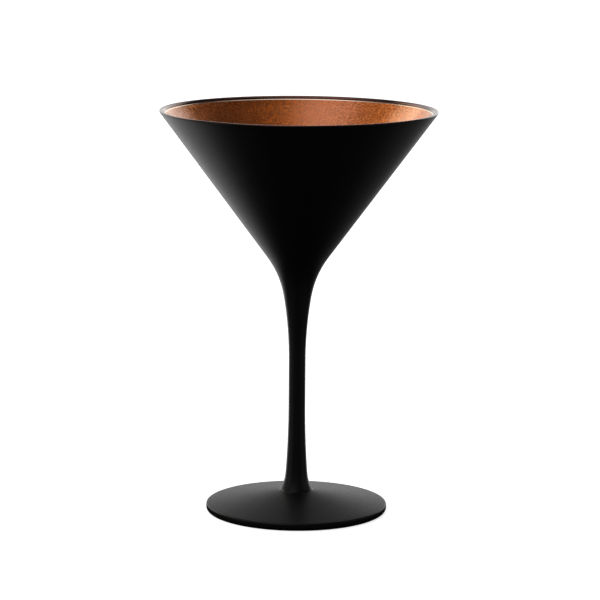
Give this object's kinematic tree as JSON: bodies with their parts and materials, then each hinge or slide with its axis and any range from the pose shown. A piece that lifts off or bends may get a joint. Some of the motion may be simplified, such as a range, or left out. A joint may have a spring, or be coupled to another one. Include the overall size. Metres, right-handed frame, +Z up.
{
  "type": "martini glass",
  "caption": "Stemmed martini glass: straight-sided conical bowl on a drawn stem and a round, shallow-coned foot, black outside and bronze inside the bowl.",
  "frame": {"origin": "centre of the foot's underside, on the surface that the glass stands on", "axes": "+Z up along the glass's axis of revolution; X and Y are any two level directions at right angles"},
  "size_m": [0.1172, 0.1172, 0.172],
  "materials": {
    "clear_glass": "clear, smooth and fire-polished; covered all over by lacquer",
    "black_lacquer": "matte black sprayed lacquer with a soft sheen at grazing angles",
    "bronze_lacquer": "satin bronze metallic lacquer with fine flake"
  },
  "bodies": {
    "root": {"bowl": "clear_glass", "stem": "clear_glass", "foot": "clear_glass", "bowl_lacquer": "black_lacquer", "stem_lacquer": "black_lacquer", "foot_lacquer": "black_lacquer", "bronze_lining": "bronze_lacquer"}
  },
  "joints": []
}
